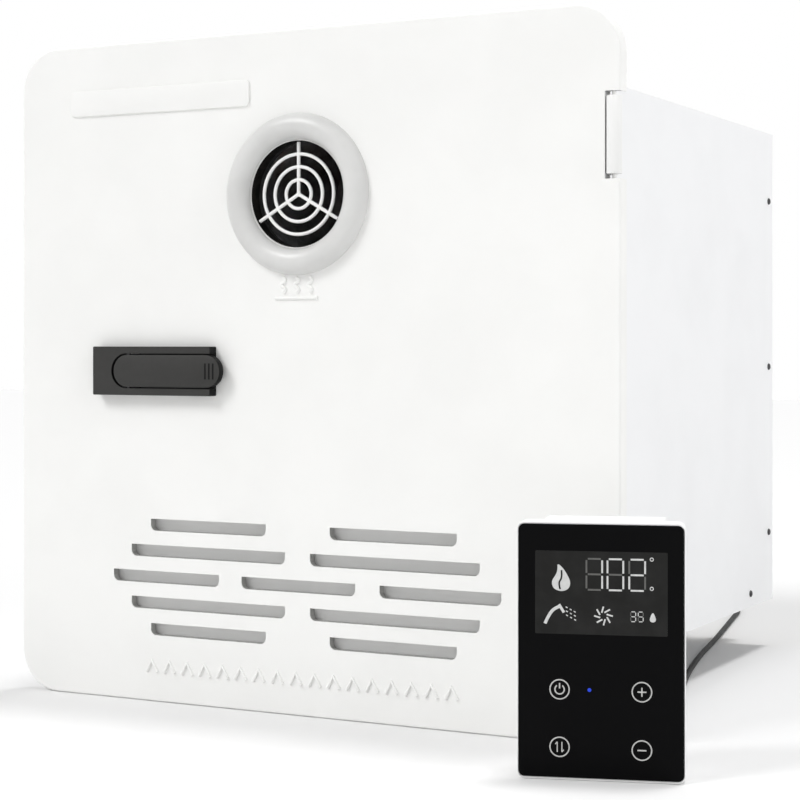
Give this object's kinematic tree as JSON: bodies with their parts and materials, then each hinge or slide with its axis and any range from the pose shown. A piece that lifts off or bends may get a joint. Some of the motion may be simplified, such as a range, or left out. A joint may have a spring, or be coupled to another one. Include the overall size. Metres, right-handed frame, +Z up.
{
  "type": "built-in propane water heater",
  "caption": "Wall-built tankless propane water heater: hinged square access door with exhaust bezel and rain slots, sheet-metal case, wired touch panel.",
  "frame": {"origin": "centre of the mounting flange's back face, on the outside wall's plane", "axes": "+X right seen from the front, +Y into the wall, +Z up"},
  "size_m": [0.4372, 0.6371, 0.381],
  "materials": {
    "door_white": "satin warm white powder coat",
    "case_white": "satin cool white coated sheet",
    "flange_white": "satin white coated sheet",
    "bezel_plastic": "semi-gloss moulded light grey-white",
    "grille_white": "white coated wire",
    "baffle_grey": "light grey coated sheet",
    "latch_black": "fine textured black",
    "spring_steel": "bright steel",
    "galvanised": "zinc coated sheet",
    "seal_foam": "closed-cell foam rubber",
    "screw_black": "black oxide",
    "sight_glass": "clear",
    "stainless": "brushed stainless sheet",
    "copper": "bare copper, slightly tarnished",
    "cast_aluminium": "as cast",
    "ceramic": "unglazed white",
    "motor_black": "satin black",
    "brass": "machined",
    "fan_black": "moulded black",
    "turbine_white": "moulded",
    "control_grey": "moulded grey",
    "board_green": "circuit board",
    "panel_glass": "polished black glass",
    "panel_white": "semi-gloss white moulding",
    "cable_black": "smooth black sheath",
    "tie_black": "moulded nylon"
  },
  "bodies": {
    "case": {"back_panel": "case_white", "base_pan": "case_white", "burner_bars": "stainless", "burner_tray": "stainless", "cable_back": "cable_black", "cable_front": "cable_black", "cable_gland": "fan_black", "cable_tie": "tie_black", "cable_winding": "cable_black", "case_screws": "screw_black", "case_wrapper": "case_white", "cold_inlet": "brass", "combustion_chamber": "copper", "control_board": "board_green", "control_box": "control_grey", "control_cover": "control_grey", "door_seal": "seal_foam", "drain_plug": "brass", "exchanger_fins": "copper", "exchanger_tube": "copper", "exhaust_hood": "stainless", "fan_housing": "galvanised", "fan_motor": "motor_black", "flow_sensor_body": "brass", "flue_duct": "stainless", "flue_gasket": "seal_foam", "gas_inlet": "brass", "gas_manifold": "cast_aluminium", "gas_solenoids": "motor_black", "gas_valve_body": "cast_aluminium", "hinge_brackets": "door_white", "hot_outlet": "brass", "ignition_electrodes": "ceramic", "inner_front_panel": "galvanised", "mounting_flange": "flange_white", "relief_valve_body": "brass", "sight_glass": "sight_glass", "strike_clip": "spring_steel", "switch_housing": "fan_black", "touch_bezel": "panel_white", "touch_board": "board_green", "touch_glass": "panel_glass", "touch_wall_box": "panel_white"},
    "door": {"door_panel": "door_white", "exhaust_ring": "bezel_plastic", "exhaust_grille": "grille_white", "rain_baffle": "baffle_grey", "latch_base": "latch_black", "latch_pin": "spring_steel", "latch_back_plate": "galvanised", "latch_spring": "spring_steel", "hinge_leaves": "galvanised", "hinge_pins": "spring_steel"},
    "lever": {"latch_lever": "latch_black"},
    "tongue": {"latch_tongue": "galvanised"},
    "impeller": {"fan_impeller": "fan_black"},
    "turbine": {"flow_turbine": "turbine_white"},
    "plunger": {"gas_plunger": "spring_steel"},
    "relief_handle": {"relief_lever": "spring_steel"},
    "rocker": {"switch_rocker": "fan_black"}
  },
  "joints": [
    {"name": "door_hinge", "type": "hinge", "parent": "case", "child": "door", "pos_m": [0.1865, -0.0093, 0], "axis": [0, 0, 1], "range_deg": [0, 64], "deforming": ["strike_clip"]},
    {"name": "latch_lever_hinge", "type": "hinge", "parent": "door", "child": "lever", "pos_m": [-0.1093, -0.01695, 0], "axis": [0, 0, -1], "range_deg": [0, 35], "deforming": ["latch_spring"]},
    {"name": "latch_tongue_slide", "type": "slide", "parent": "door", "child": "tongue", "axis": [1, 0, 0], "range_m": [0, 0.006], "stiffness_N_per_m": 150, "springref_m": -0.004, "deforming": ["latch_spring"]},
    {"name": "impeller_spin", "type": "hinge", "parent": "case", "child": "impeller", "pos_m": [-0.012, 0.15, -0.111], "axis": [0, 1, 0], "continuous": true},
    {"name": "turbine_spin", "type": "hinge", "parent": "case", "child": "turbine", "pos_m": [0.125, 0.301, -0.13], "axis": [0, 1, 0], "continuous": true},
    {"name": "gas_plunger_slide", "type": "slide", "parent": "case", "child": "plunger", "axis": [0, 0, 1], "range_m": [0, 0.003], "stiffness_N_per_m": 200, "springref_m": -0.001},
    {"name": "relief_lever_hinge", "type": "hinge", "parent": "case", "child": "relief_handle", "pos_m": [0.105, 0.02, -0.0885], "axis": [-1, 0, 0], "range_deg": [0, 80], "stiffness_Nm_per_rad": 0.05, "springref_deg": -5.73},
    {"name": "power_rocker_hinge", "type": "hinge", "parent": "case", "child": "rocker", "pos_m": [0.115, 0.04, 0.02], "axis": [1, 0, 0], "range_deg": [-8, 8]}
  ],
  "couplings": [
    {"joint": "latch_lever_hinge", "follows": "latch_tongue_slide", "rad_per_m": 101.8}
  ]
}
